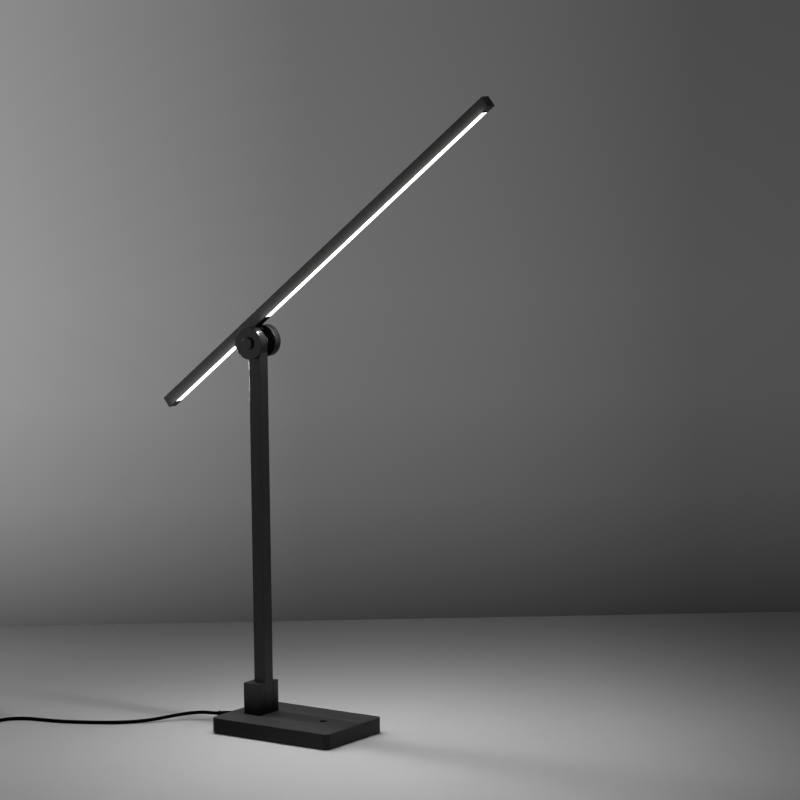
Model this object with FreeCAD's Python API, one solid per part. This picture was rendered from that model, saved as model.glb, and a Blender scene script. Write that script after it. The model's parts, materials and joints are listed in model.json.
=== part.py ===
import FreeCAD, Part
import math
import os

os.makedirs("parts", exist_ok=True)

# LED table lamp: a square light bar that tilts on a square post, on a flat weighted base.
# Millimetres. The origin is under the middle of the base, on the surface that it stands on. +X runs along the
# base towards the bar's long end, +Y across the base towards its back, and +Z up.

Vector = FreeCAD.Vector
X_AXIS = Vector(1, 0, 0)
Y_AXIS = Vector(0, 1, 0)
Z_AXIS = Vector(0, 0, 1)

# Base
BASE_LENGTH = 160.0
BASE_WIDTH = 104.0
BASE_HEIGHT = 17.2
BASE_CORNER_RADIUS = 6.0
BASE_EDGE_RADIUS = 0.5
BASE_TOP_THICKNESS = 2.5
BASE_WALL = 2.5
PAD_THICKNESS = 0.8
PAD_INSET = 4.0
COVER_THICKNESS = 2.0
BALLAST_THICKNESS = 9.0
BALLAST_GAP = 2.5

# Clearances and screws
FIT_GAP = 0.1
RUNNING_GAP = 0.06
SMALL_SCREW_RADIUS = 1.25
SCREW_RADIUS = 1.5
SET_SCREW_RADIUS = 2.0
SCREW_HEAD_RATIO = 1.8
SCREW_HEAD_HEIGHT = 1.2
SCREW_GRIP = 7.0
BOSS_RADIUS = 4.0
COVER_SCREW_INSET = 5.0

# Button, switch and driver board
BUTTON_INSET = 43.0
BUTTON_RADIUS = 4.0
BUTTON_RECESS = 1.3
BUTTON_TRAVEL = 0.8
BUTTON_EDGE_RADIUS = 0.3
BUTTON_DISH_RADIUS = 3.2
BUTTON_DISH_DEPTH = 0.4
BUTTON_HOLE_CHAMFER = 0.2
BUTTON_FLANGE_WIDTH = 1.5
BUTTON_FLANGE_THICKNESS = 1.0
BUTTON_STEM_RADIUS = 2.0
BUTTON_STEM_LENGTH = 0.7
PLUNGER_RADIUS = 1.5
PLUNGER_LENGTH = 4.6
SWITCH_SIZE = 8.0
SWITCH_HEIGHT = 6.0
SWITCH_MARGIN = 0.5
BOARD_LENGTH = 44.0
BOARD_WIDTH = 34.0
BOARD_THICKNESS = 1.6
BOARD_SCREW_INSET = 4.0
TERMINAL_LENGTH = 8.0
TERMINAL_WIDTH = 18.0
TERMINAL_INSET = 4.0
TERMINAL_HEADROOM = 1.0

# Socket and post
SOCKET_LENGTH = 23.0
SOCKET_WIDTH = 33.7
SOCKET_HEIGHT = 35.5
SOCKET_EDGE_RADIUS = 0.4
SOCKET_SCREW_DEPTH = 12.0
SET_SCREW_HEIGHTS = (22.0, 30.0)
SET_SCREW_RECESS = 0.6
POST_INSET = 35.25
POST_SIZE = 15.0
POST_WALL = 1.5
POST_EDGE_RADIUS = 0.5

# Tilt hinge
PIVOT_ABOVE_BASE = 418.5
HEAD_BELOW_PIVOT = 12.0
HEAD_SPIGOT_LENGTH = 25.0
HEAD_SCREW_DROP = 12.0
HEAD_SCREW_DEPTH = 5.0
LEAD_GROOVE_WIDTH = 3.4
LEAD_GROOVE_DEPTH = 3.1
BOLT_RADIUS = 2.0
BOLT_HEAD_RADIUS = 3.6
BOLT_HEAD_HEIGHT = 4.0
NUT_ACROSS_CORNERS = 7.8
NUT_HEIGHT = 3.2
BOLT_END_PROUD = 0.4
WASHER_THICKNESS = 0.75
WASHER_PLAY = 0.05
WASHER_RADIUS = 7.0
DISC_RADIUS = 17.9
DISC_THICKNESS = 10.0
DISC_EDGE_RADIUS = 0.5
DISC_RECESS_RADIUS = 5.5
DISC_RECESS_DEPTH = 6.0
CAP_RADIUS = 7.0
CAP_HEIGHT = 3.0
CAP_EDGE_RADIUS = 0.8
CAP_SPIGOT_LENGTH = 1.2
NECK_LENGTH = 21.0
NECK_HEIGHT = 4.5
NECK_SCREW_SPACING = 12.0
NECK_SCREW_RECESS = 1.8
NECK_SCREW_GRIP = 10.0
DOWEL_RADIUS = 1.2
DOWEL_SPACING = 15.0
DOWEL_IN_NECK = 2.0
DOWEL_IN_DISC = 4.0

# Light bar, measured from the pivot
BAR_ANGLE = 38.83
BAR_SIZE = 13.0
BAR_ABOVE_PIVOT = 13.3
BAR_LONG_REACH = 410.8
BAR_SHORT_REACH = 145.8
BAR_WALL = 1.5
BAR_EDGE_RADIUS = 0.5
BAR_GROOVE_DEPTH = 0.6
BAR_GROOVE_HEIGHT = 1.5
BAR_GROOVE_ABOVE = 2.2
BRIDGE_LONG_REACH = 29.6
BRIDGE_SHORT_REACH = 27.0
BRIDGE_GROOVE_WIDTH = 4.4
BRIDGE_GROOVE_DEPTH = 4.2
END_CAP_THICKNESS = 2.0
END_CAP_PLUG_LENGTH = 9.5
DIFFUSER_THICKNESS = 2.1
DIFFUSER_LEG = 1.2
DIFFUSER_LEG_RISE = 4.2
LED_BOARD_WIDTH = 9.0
LED_BOARD_THICKNESS = 1.6
LED_BOARD_END_GAP = 0.5
LED_SIZE = 2.8
LED_HEIGHT = 0.8
LED_PITCH = 12.5
LED_FIRST = 11.0

# Leads inside the lamp
LEAD_RADIUS = 1.2
LEAD_OFFSET = 4.5
LEAD_BEND_RADIUS = 4.0
LEAD_HOLE_GAP = 0.4
LEAD_END_BELOW_PIVOT = 1.0
LEAD_UNDER_BOARD = 6.0
TAIL_Y = -5.5
LEAD_SLOT_MARGIN = 2.5

# Cord, its boot, coil and tie
CORD_RADIUS = 2.0
CORD_EXIT_HEIGHT = 11.7
BOOT_DROOP = 5.0
BOOT_LENGTH = 29.0
BOOT_BASE_RADIUS = 3.3
BOOT_TIP_RADIUS = 2.6
BOOT_COLLAR_RADIUS = 4.0
BOOT_COLLAR_THICKNESS = 1.5
BOOT_FLANGE_RADIUS = 3.7
BOOT_FLANGE_THICKNESS = 2.0
FLOOR_GAP = 0.05
ARC_SHARE = 0.45
COIL_X = -350.0
COIL_Y = -196.0
COIL_INNER_RADIUS = 16.0
COIL_TURNS = 10.5
COIL_LAYERS = 4
COIL_PITCH = 4.65
COIL_LAYER_HEIGHT = 4.6
COIL_LEAD_IN = 4.0
COIL_TAIL = 14.0
TIE_WIDTH = 6.0
TIE_THICKNESS = 0.7
TIE_PLAY = 0.2
TIE_SIDE_PLAY = 0.6
TIE_EDGE_RADIUS = 2.0

# Plug-in power supply
PLUG_BOOT_LENGTH = 20.0
PLUG_BOOT_RADIUS = 3.8
PLUG_LENGTH = 44.0
PLUG_WIDTH = 36.0
PLUG_HEIGHT = 32.0
PLUG_WALL = 2.0
PLUG_EDGE_RADIUS = 4.0
PLUG_COVER_THICKNESS = 4.0
PLUG_FACE_WIDTH = 33.0
PLUG_FACE_HEIGHT = 13.7
PLUG_FACE_DEPTH = 4.0
PIN_RADIUS = 2.0
PIN_LENGTH = 19.0
PIN_SPACING = 18.6
CONVERTER_MARGIN = 3.0
CONVERTER_BOARD_THICKNESS = 1.6
CONVERTER_PARTS_HEIGHT = 14.0

# Levels and places that follow from the driving dimensions
base_bottom = PAD_THICKNESS
base_top = base_bottom + BASE_HEIGHT
cavity_top = base_top - BASE_TOP_THICKNESS
cavity_length = BASE_LENGTH - 2 * BASE_WALL
cavity_width = BASE_WIDTH - 2 * BASE_WALL
cavity_corner = BASE_CORNER_RADIUS - BASE_WALL
cover_top = base_bottom + COVER_THICKNESS
button_x = BASE_LENGTH / 2 - BUTTON_INSET
post_x = POST_INSET - BASE_LENGTH / 2
socket_right = post_x + POST_SIZE / 2
cover_screw_x = cavity_length / 2 - COVER_SCREW_INSET
cover_screw_y = cavity_width / 2 - COVER_SCREW_INSET
flange_bottom = cavity_top - BUTTON_FLANGE_THICKNESS
stem_bottom = flange_bottom - BUTTON_STEM_LENGTH
switch_top = stem_bottom - BUTTON_TRAVEL - SWITCH_MARGIN
board_top = switch_top - SWITCH_HEIGHT
board_bottom = board_top - BOARD_THICKNESS
terminal_front = button_x - BOARD_LENGTH / 2 + TERMINAL_INSET
socket_top = base_top + SOCKET_HEIGHT
post_room = POST_SIZE / 2 + FIT_GAP
socket_screw_y = (post_room + SOCKET_WIDTH / 2) / 2
pivot_height = base_top + PIVOT_ABOVE_BASE
head_bottom = pivot_height - HEAD_BELOW_PIVOT
lead_x = post_x - LEAD_OFFSET
lead_hole_radius = LEAD_RADIUS + LEAD_HOLE_GAP
disc_inner = POST_SIZE / 2 + WASHER_PLAY + WASHER_THICKNESS
disc_outer = disc_inner + DISC_THICKNESS
bolt_seat = disc_outer - DISC_RECESS_DEPTH
bolt_hole_radius = BOLT_RADIUS + RUNNING_GAP
neck_bottom = BAR_ABOVE_PIVOT - NECK_HEIGHT
dowel_level = neck_bottom + NECK_HEIGHT / 2
bar_inside = BAR_SIZE / 2 - BAR_WALL
bar_top = BAR_ABOVE_PIVOT + BAR_SIZE
web_level = bar_top - BAR_WALL
led_board_level = web_level - LED_BOARD_THICKNESS
bar_lead_level = led_board_level - LEAD_RADIUS - RUNNING_GAP
channel_long = BAR_LONG_REACH - END_CAP_THICKNESS
channel_short = BAR_SHORT_REACH - END_CAP_THICKNESS
strip_long_end = channel_long - END_CAP_PLUG_LENGTH
strip_short_end = channel_short - END_CAP_PLUG_LENGTH
collar_x = -BASE_LENGTH / 2 - BOOT_COLLAR_THICKNESS
boot_direction = Vector(-math.cos(math.radians(BOOT_DROOP)), 0, -math.sin(math.radians(BOOT_DROOP)))
boot_start = Vector(collar_x, 0, CORD_EXIT_HEIGHT)
boot_end = boot_start + boot_direction * BOOT_LENGTH
floor_level = CORD_RADIUS + FLOOR_GAP
coil_floor = floor_level + TIE_THICKNESS + TIE_PLAY
coil_top = coil_floor + (COIL_LAYERS - 1) * COIL_LAYER_HEIGHT
layer_turns = COIL_TURNS / COIL_LAYERS
coil_outer_radius = COIL_INNER_RADIUS + COIL_PITCH * layer_turns

# The cord's free run: out of the boot, down to the floor and away to the coil. Its points are set by hand.
CORD_ROUTE = [
    (-117.36, 0.0, 8.56),
    (-133.5, -3.5, 8.5),
    (-152.5, -18.5, 6.0),
    (-169.5, -44.0, 2.7),
    (-190.5, -69.0, 2.05),
    (-222.0, -88.5, 2.05),
    (-254.5, -103.0, 2.05),
    (-279.0, -108.0, 2.05),
    (-299.5, -112.5, 2.05),
    (-311.0, -121.0, 2.05),
    (-318.0, -132.5, 2.05),
    (-319.2, -147.0, 2.05),
    (-321.1, -168.0, 2.95),
]


def span(centre, size):
    return (centre - size / 2, centre + size / 2)


def block(x_span, y_span, z_span):
    corner = Vector(x_span[0], y_span[0], z_span[0])
    return Part.makeBox(x_span[1] - x_span[0], y_span[1] - y_span[0], z_span[1] - z_span[0], corner)


def rod(start, axis, radius, length):
    return Part.makeCylinder(radius, length, start, axis)


def straight_edges(shape, axis):
    """The straight edges that run along an axis."""
    lines = [edge for edge in shape.Edges if isinstance(edge.Curve, Part.Line)]
    return [edge for edge in lines if edge.Curve.Direction.cross(axis).Length < 1e-6]


def edges_in_plane(shape, point, normal):
    """The edges that lie in a plane."""
    def in_plane(spot):
        return abs((spot - point).dot(normal)) < 1e-5

    return [
        edge
        for edge in shape.Edges
        if in_plane(edge.CenterOfMass) and all(in_plane(vertex.Point) for vertex in edge.Vertexes)
    ]


def slab(length, width, z_span, corner_radius):
    """A flat block about the Z axis with rounded upright corners."""
    plain = block(span(0, length), span(0, width), z_span)
    return plain.makeFillet(corner_radius, straight_edges(plain, Z_AXIS))


def hexagon(start, axis, across_corners, length):
    side = X_AXIS if abs(axis.dot(X_AXIS)) < 0.5 else Y_AXIS
    other = axis.cross(side)
    radius = across_corners / 2
    corners = []
    for step in range(7):
        angle = step * math.pi / 3
        corners.append(start + side * (radius * math.cos(angle)) + other * (radius * math.sin(angle)))
    return Part.Face(Part.makePolygon(corners)).extrude(axis * length)


def screw(seat, axis, radius, length, head_height):
    """A socket-head screw whose head sits on seat and whose shank runs along axis."""
    shank = rod(seat, axis, radius, length)
    head = rod(seat, axis * -1, radius * SCREW_HEAD_RATIO, head_height)
    drive = hexagon(seat - axis * head_height, axis, radius * 1.6, head_height / 2)
    return shank.fuse(head).removeSplitter().cut(drive)


def set_screw(start, axis, radius, length):
    """A headless screw from start, with its drive at that end."""
    return rod(start, axis, radius, length).cut(hexagon(start, axis, radius, length / 3))


def corners_of(x, y):
    return [(x, y), (-x, y), (x, -y), (-x, -y)]


def cover_screw_places():
    return corners_of(cover_screw_x, cover_screw_y)


def board_screw_places():
    dx = BOARD_LENGTH / 2 - BOARD_SCREW_INSET
    dy = BOARD_WIDTH / 2 - BOARD_SCREW_INSET
    return [(button_x + dx, dy), (button_x + dx, -dy)]


def base_shell():
    outside = slab(BASE_LENGTH, BASE_WIDTH, (base_bottom, base_top), BASE_CORNER_RADIUS)
    top_edges = edges_in_plane(outside, Vector(0, 0, base_top), Z_AXIS)
    outside = outside.makeFillet(BASE_EDGE_RADIUS, top_edges)
    shell = outside.cut(slab(cavity_length, cavity_width, (base_bottom, cavity_top), cavity_corner))
    pillars = [
        rod(Vector(x, y, cover_top), Z_AXIS, BOSS_RADIUS, cavity_top - cover_top)
        for x, y in cover_screw_places()
    ]
    pillars += [
        rod(Vector(x, y, board_top), Z_AXIS, BOSS_RADIUS, cavity_top - board_top)
        for x, y in board_screw_places()
    ]
    shell = shell.fuse(pillars).removeSplitter()
    hole = SCREW_RADIUS + FIT_GAP
    small_hole = SMALL_SCREW_RADIUS + FIT_GAP
    cuts = [rod(Vector(x, y, cover_top), Z_AXIS, hole, SCREW_GRIP + 1) for x, y in cover_screw_places()]
    cuts += [rod(Vector(x, y, board_top), Z_AXIS, small_hole, SCREW_GRIP) for x, y in board_screw_places()]
    for side in (-1, 1):
        place = Vector(post_x, side * socket_screw_y, cavity_top)
        cuts.append(rod(place, Z_AXIS, hole, BASE_TOP_THICKNESS))
    button_hole = BUTTON_RADIUS + RUNNING_GAP
    cuts.append(rod(Vector(button_x, 0, cavity_top), Z_AXIS, button_hole, BASE_TOP_THICKNESS))
    chamfer_start = Vector(button_x, 0, base_top - BUTTON_HOLE_CHAMFER)
    chamfer_top = button_hole + BUTTON_HOLE_CHAMFER
    cuts.append(Part.makeCone(button_hole, chamfer_top, BUTTON_HOLE_CHAMFER, chamfer_start, Z_AXIS))
    cuts.append(rod(Vector(lead_x, 0, cavity_top), Z_AXIS, lead_hole_radius, BASE_TOP_THICKNESS))
    wall_start = Vector(-BASE_LENGTH / 2, 0, CORD_EXIT_HEIGHT)
    cuts.append(rod(wall_start, X_AXIS, BOOT_BASE_RADIUS + FIT_GAP, BASE_WALL))
    return shell.cut(cuts)


def bottom_cover():
    length = cavity_length - 2 * FIT_GAP
    width = cavity_width - 2 * FIT_GAP
    plate = slab(length, width, (base_bottom, cover_top), cavity_corner)
    recess = SCREW_RADIUS * SCREW_HEAD_RATIO + FIT_GAP
    cuts = []
    for x, y in cover_screw_places():
        cuts.append(rod(Vector(x, y, base_bottom), Z_AXIS, recess, SCREW_HEAD_HEIGHT))
        cuts.append(rod(Vector(x, y, base_bottom), Z_AXIS, SCREW_RADIUS + FIT_GAP, COVER_THICKNESS))
    return plate.cut(cuts)


def cover_screws():
    seat = base_bottom + SCREW_HEAD_HEIGHT
    return Part.makeCompound(
        [screw(Vector(x, y, seat), Z_AXIS, SCREW_RADIUS, SCREW_GRIP, SCREW_HEAD_HEIGHT)
         for x, y in cover_screw_places()]
    )


def base_pad():
    length = BASE_LENGTH - 2 * PAD_INSET
    width = BASE_WIDTH - 2 * PAD_INSET
    return slab(length, width, (0, PAD_THICKNESS), cavity_corner)


def ballast_plate():
    """A steel slab on the bottom cover, open around the driver board and along the leads."""
    reach = cover_screw_x - BOSS_RADIUS - BALLAST_GAP
    width = cavity_width - 2 * BALLAST_GAP
    z_span = (cover_top, cover_top + BALLAST_THICKNESS)
    plate = block((-reach, reach), span(0, width), z_span)
    window = block(
        span(button_x, BOARD_LENGTH + 2 * BALLAST_GAP), span(0, BOARD_WIDTH + 2 * BALLAST_GAP), z_span
    )
    slot_y = (TAIL_Y - CORD_RADIUS - LEAD_SLOT_MARGIN, LEAD_RADIUS + LEAD_SLOT_MARGIN)
    slot = block((-reach, button_x), slot_y, z_span)
    return plate.cut([window, slot])


def driver_board():
    y_span = span(0, BOARD_WIDTH)
    board = block(span(button_x, BOARD_LENGTH), y_span, (board_bottom, board_top))
    hole = SMALL_SCREW_RADIUS + FIT_GAP
    return board.cut(
        [rod(Vector(x, y, board_bottom), Z_AXIS, hole, BOARD_THICKNESS) for x, y in board_screw_places()]
    )


def board_screws():
    length = BOARD_THICKNESS + SCREW_GRIP - 1
    return Part.makeCompound(
        [screw(Vector(x, y, board_bottom), Z_AXIS, SMALL_SCREW_RADIUS, length, SCREW_HEAD_HEIGHT)
         for x, y in board_screw_places()]
    )


def terminal_block():
    """The block on the board where the cord's tail and the post's lead end."""
    x_span = (terminal_front, terminal_front + TERMINAL_LENGTH)
    y_span = span(TAIL_Y / 2, TERMINAL_WIDTH)
    return block(x_span, y_span, (board_top, cavity_top - TERMINAL_HEADROOM))


def switch_body():
    body = block(span(button_x, SWITCH_SIZE), span(0, SWITCH_SIZE), (board_top, switch_top))
    bottom = stem_bottom - PLUNGER_LENGTH - BUTTON_TRAVEL - SWITCH_MARGIN
    well = rod(Vector(button_x, 0, bottom), Z_AXIS, PLUNGER_RADIUS + RUNNING_GAP, switch_top - bottom)
    return body.cut(well)


def switch_plunger():
    return rod(Vector(button_x, 0, stem_bottom - PLUNGER_LENGTH), Z_AXIS, PLUNGER_RADIUS, PLUNGER_LENGTH)


def button():
    """The push button: its dished top sits a little below the base's top, its flange stops it under there,
    and its stem stands on the plunger."""
    top = base_top - BUTTON_RECESS
    key = rod(Vector(button_x, 0, flange_bottom), Z_AXIS, BUTTON_RADIUS, top - flange_bottom)
    key = key.makeFillet(BUTTON_EDGE_RADIUS, edges_in_plane(key, Vector(0, 0, top), Z_AXIS))
    flange_radius = BUTTON_RADIUS + BUTTON_FLANGE_WIDTH
    flange = rod(Vector(button_x, 0, flange_bottom), Z_AXIS, flange_radius, BUTTON_FLANGE_THICKNESS)
    stem = rod(Vector(button_x, 0, stem_bottom), Z_AXIS, BUTTON_STEM_RADIUS, BUTTON_STEM_LENGTH)
    ball_radius = (BUTTON_DISH_RADIUS ** 2 + BUTTON_DISH_DEPTH ** 2) / (2 * BUTTON_DISH_DEPTH)
    dish = Part.makeSphere(ball_radius, Vector(button_x, 0, top - BUTTON_DISH_DEPTH + ball_radius))
    return key.fuse([flange, stem]).removeSplitter().cut(dish)


def socket_block():
    """The block around the post's foot, open on the right, where the post is flush with it."""
    body = block((socket_right - SOCKET_LENGTH, socket_right), span(0, SOCKET_WIDTH), (base_top, socket_top))
    rounded = edges_in_plane(body, Vector(0, 0, socket_top), Z_AXIS) + straight_edges(body, Z_AXIS)
    body = body.makeFillet(SOCKET_EDGE_RADIUS, rounded)
    cuts = [block((post_x - post_room, socket_right), span(0, 2 * post_room), (base_top, socket_top))]
    for side in (-1, 1):
        place = Vector(post_x, side * socket_screw_y, base_top)
        cuts.append(rod(place, Z_AXIS, SCREW_RADIUS + FIT_GAP, SOCKET_SCREW_DEPTH + 1))
    for height in SET_SCREW_HEIGHTS:
        place = Vector(post_x, 0, base_top + height)
        cuts.append(rod(place, Y_AXIS, SET_SCREW_RADIUS + FIT_GAP, SOCKET_WIDTH / 2))
    return body.cut(cuts)


def socket_screws():
    """Two screws from inside the base up into the socket."""
    length = BASE_TOP_THICKNESS + SOCKET_SCREW_DEPTH
    return Part.makeCompound(
        [screw(Vector(post_x, side * socket_screw_y, cavity_top), Z_AXIS, SCREW_RADIUS, length,
               2 * SCREW_HEAD_HEIGHT)
         for side in (-1, 1)]
    )


def set_screws():
    """Two headless screws in the socket's back that clamp the post."""
    outer = SOCKET_WIDTH / 2 - SET_SCREW_RECESS
    return Part.makeCompound(
        [set_screw(Vector(post_x, outer, base_top + height), Y_AXIS * -1, SET_SCREW_RADIUS,
                   outer - POST_SIZE / 2)
         for height in SET_SCREW_HEIGHTS]
    )


def head_screw_place():
    return Vector(post_x, POST_SIZE / 2, head_bottom - HEAD_SCREW_DROP)


def post_tube():
    z_span = (base_top, head_bottom)
    outside = block(span(post_x, POST_SIZE), span(0, POST_SIZE), z_span)
    outside = outside.makeFillet(POST_EDGE_RADIUS, straight_edges(outside, Z_AXIS))
    inside = POST_SIZE - 2 * POST_WALL
    bore = block(span(post_x, inside), span(0, inside), z_span)
    screw_hole = rod(head_screw_place(), Y_AXIS * -1, SCREW_RADIUS + FIT_GAP, POST_WALL)
    return outside.cut([bore, screw_hole])


def post_head():
    """The hinge head in the post's end: a square block with a round top, on a spigot inside the tube."""
    half = POST_SIZE / 2
    low_left = Vector(post_x - half, -half, head_bottom)
    low_right = Vector(post_x + half, -half, head_bottom)
    high_left = Vector(post_x - half, -half, pivot_height)
    high_right = Vector(post_x + half, -half, pivot_height)
    crown = Part.Arc(high_right, Vector(post_x, -half, pivot_height + half), high_left)
    outline = Part.Wire([
        Part.makeLine(high_left, low_left),
        Part.makeLine(low_left, low_right),
        Part.makeLine(low_right, high_right),
        crown.toShape(),
    ])
    body = Part.Face(outline).extrude(Y_AXIS * POST_SIZE)
    edges = []
    for side in (-half, half):
        edges += edges_in_plane(body, Vector(post_x, side, pivot_height), Y_AXIS)
    bottom = edges_in_plane(body, low_left, Z_AXIS)
    rounded = [edge for edge in edges if not any(edge.isSame(low) for low in bottom)]
    body = body.makeFillet(POST_EDGE_RADIUS, rounded)
    width = POST_SIZE - 2 * POST_WALL - 2 * FIT_GAP
    spigot_bottom = head_bottom - HEAD_SPIGOT_LENGTH
    spigot = block(span(post_x, width), span(0, width), (spigot_bottom, head_bottom))
    body = body.fuse(spigot).removeSplitter()
    pivot = Vector(post_x, 0, pivot_height)
    groove_start = pivot - Y_AXIS * (LEAD_GROOVE_WIDTH / 2)
    groove = rod(groove_start, Y_AXIS, POST_SIZE, LEAD_GROOVE_WIDTH)
    groove = groove.cut(rod(groove_start, Y_AXIS, half - LEAD_GROOVE_DEPTH, LEAD_GROOVE_WIDTH))
    upper = (pivot_height, pivot_height + POST_SIZE)
    groove = groove.common(block(span(post_x, 2 * POST_SIZE), span(0, POST_SIZE), upper))
    lead_hole = rod(Vector(lead_x, 0, spigot_bottom), Z_AXIS, lead_hole_radius, pivot_height - spigot_bottom)
    bolt_hole = rod(pivot - Y_AXIS * half, Y_AXIS, bolt_hole_radius, POST_SIZE)
    screw_hole = rod(head_screw_place(), Y_AXIS * -1, SCREW_RADIUS + FIT_GAP, POST_WALL + HEAD_SCREW_DEPTH)
    return body.cut([groove, lead_hole, bolt_hole, screw_hole])


def head_screw():
    start = head_screw_place() - Y_AXIS * FIT_GAP
    return set_screw(start, Y_AXIS * -1, SCREW_RADIUS, POST_WALL + HEAD_SCREW_DEPTH - 2 * FIT_GAP)


def rounded_route(points, corner_radius=None):
    """A path of straight runs joined by tangent arcs, and the arcs' radii. Without a given corner radius,
    each arc is as large as its two runs allow."""
    edges = []
    radii = []
    start = points[0]
    for before, corner, after in zip(points, points[1:], points[2:]):
        into = corner - before
        away = after - corner
        shorter = min(into.Length, away.Length)
        into.normalize()
        away.normalize()
        half_turn = math.tan(into.getAngle(away) / 2)
        radius = corner_radius or ARC_SHARE * shorter / half_turn
        reach = radius * half_turn
        inward = away - into
        inward.normalize()
        centre = corner + inward * math.hypot(radius, reach)
        first = corner - into * reach
        last = corner + away * reach
        edges.append(Part.makeLine(start, first))
        edges.append(Part.Arc(first, centre - inward * radius, last).toShape())
        radii.append(radius)
        start = last
    edges.append(Part.makeLine(start, points[-1]))
    return Part.Wire(edges), radii


def tube(path, radius):
    first = path.Edges[0]
    direction = first.tangentAt(first.FirstParameter)
    profile = Part.Wire(Part.makeCircle(radius, first.valueAt(first.FirstParameter), direction))
    return path.makePipeShell([profile], True, False)


def post_lead():
    """The lead from the terminal block across the base and up the post."""
    points = [
        Vector(terminal_front, 0, CORD_EXIT_HEIGHT),
        Vector(lead_x, 0, CORD_EXIT_HEIGHT),
        Vector(lead_x, 0, pivot_height - LEAD_END_BELOW_PIVOT),
    ]
    path, _ = rounded_route(points, LEAD_BEND_RADIUS)
    return tube(path, LEAD_RADIUS)


def cord_tail():
    """The cord's inner end, from the boot to the terminal block."""
    inner = -BASE_LENGTH / 2 + BASE_WALL + BOOT_FLANGE_THICKNESS
    bend = BASE_WALL * 4
    points = [
        Vector(inner, 0, CORD_EXIT_HEIGHT),
        Vector(inner + bend, 0, CORD_EXIT_HEIGHT),
        Vector(inner + 2 * bend, TAIL_Y, CORD_EXIT_HEIGHT),
        Vector(terminal_front, TAIL_Y, CORD_EXIT_HEIGHT),
    ]
    path, _ = rounded_route(points)
    return tube(path, CORD_RADIUS)


def strain_relief():
    """The cord's boot: a flange inside the wall, a collar outside it and a tapered, drooping sleeve."""
    wall_inside = -BASE_LENGTH / 2 + BASE_WALL
    axis_point = Vector(wall_inside, 0, CORD_EXIT_HEIGHT)
    flange = rod(axis_point, X_AXIS, BOOT_FLANGE_RADIUS, BOOT_FLANGE_THICKNESS)
    shank = rod(axis_point, X_AXIS * -1, BOOT_BASE_RADIUS, BASE_WALL)
    outside = Vector(-BASE_LENGTH / 2, 0, CORD_EXIT_HEIGHT)
    collar = rod(outside, X_AXIS * -1, BOOT_COLLAR_RADIUS, BOOT_COLLAR_THICKNESS)
    root = boot_start - boot_direction * (BOOT_COLLAR_THICKNESS / 2)
    length = BOOT_LENGTH + BOOT_COLLAR_THICKNESS / 2
    sleeve = Part.makeCone(BOOT_BASE_RADIUS, BOOT_TIP_RADIUS, length, root, boot_direction)
    return flange.fuse([shank, collar, sleeve]).removeSplitter()


def coil_place(turns):
    """The coil's centreline: it spirals in and out at a steady rate and climbs where it turns back."""
    nearest = min(max(round(turns / layer_turns), 1), COIL_LAYERS - 1)
    past = turns - nearest * layer_turns
    inner_end = nearest % 2 == 1
    if abs(past) < 0.25:
        from_end = COIL_PITCH * (2 * past * past + 0.125)
        climb = (past + 0.25) / 0.5
        layer = nearest - 1 + climb * climb * (3 - 2 * climb)
    else:
        from_end = COIL_PITCH * abs(past)
        layer = nearest if past > 0 else nearest - 1
    radius = COIL_INNER_RADIUS + from_end if inner_end else coil_outer_radius - from_end
    angle = -2 * math.pi * turns
    return Vector(
        COIL_X + radius * math.cos(angle),
        COIL_Y + radius * math.sin(angle),
        coil_floor + layer * COIL_LAYER_HEIGHT,
    )


def coil_direction(turns):
    step = 1e-4
    along = coil_place(turns + step) - coil_place(turns - step)
    return along.normalize()


def arc_between(start, corner, end):
    """The arc from start to end that is tangent to the lines from corner to both."""
    middle = (start + end) * 0.5
    rise = corner - middle
    half_chord = (end - start).Length / 2
    sagitta = half_chord * math.tan(math.atan2(rise.Length, half_chord) / 2)
    return Part.Arc(start, middle + rise.normalize() * sagitta, end).toShape()


def biarc(start, start_direction, end, end_direction):
    """Two arcs that join two points in given directions."""
    across = end - start
    both = start_direction + end_direction
    square = 2 - 2 * start_direction.dot(end_direction)
    linear = across.dot(both)
    reach = (math.sqrt(linear * linear + square * across.dot(across)) - linear) / square
    first_corner = start + start_direction * reach
    last_corner = end - end_direction * reach
    joint = (first_corner + last_corner) * 0.5
    return [arc_between(start, first_corner, joint), arc_between(joint, last_corner, end)]


def coil_start():
    return coil_place(0) - coil_direction(0) * COIL_LEAD_IN


def coil_end():
    return coil_place(COIL_TURNS) + coil_direction(COIL_TURNS) * COIL_TAIL


def coil_path():
    quarters = round(COIL_TURNS * 4)
    stops = [COIL_TURNS * step / quarters for step in range(quarters + 1)]
    edges = [Part.makeLine(coil_start(), coil_place(0))]
    for here, there in zip(stops, stops[1:]):
        edges += biarc(coil_place(here), coil_direction(here), coil_place(there), coil_direction(there))
    edges.append(Part.makeLine(coil_place(COIL_TURNS), coil_end()))
    return Part.Wire(edges)


def least_gap(path, diameter):
    """The least clear gap between stretches of a tube that lie more than six diameters apart along it."""
    points = path.discretize(Distance=1.0)
    step = path.Length / (len(points) - 1)
    apart = math.ceil(6 * diameter / step)
    places = [(point.x, point.y, point.z) for point in points]
    nearest = min(
        math.dist(place, other)
        for index, place in enumerate(places)
        for other in places[index + apart:]
    )
    return nearest - diameter


def cord():
    points = [boot_end] + [Vector(*place) for place in CORD_ROUTE] + [coil_start()]
    path, radii = rounded_route(points)
    shape = tube(path, CORD_RADIUS)
    print("cord length", round(path.Length, 1), "radii", [round(radius) for radius in radii])
    print("cord volume over section times length", shape.Volume / (math.pi * CORD_RADIUS ** 2 * path.Length))
    return shape


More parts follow.
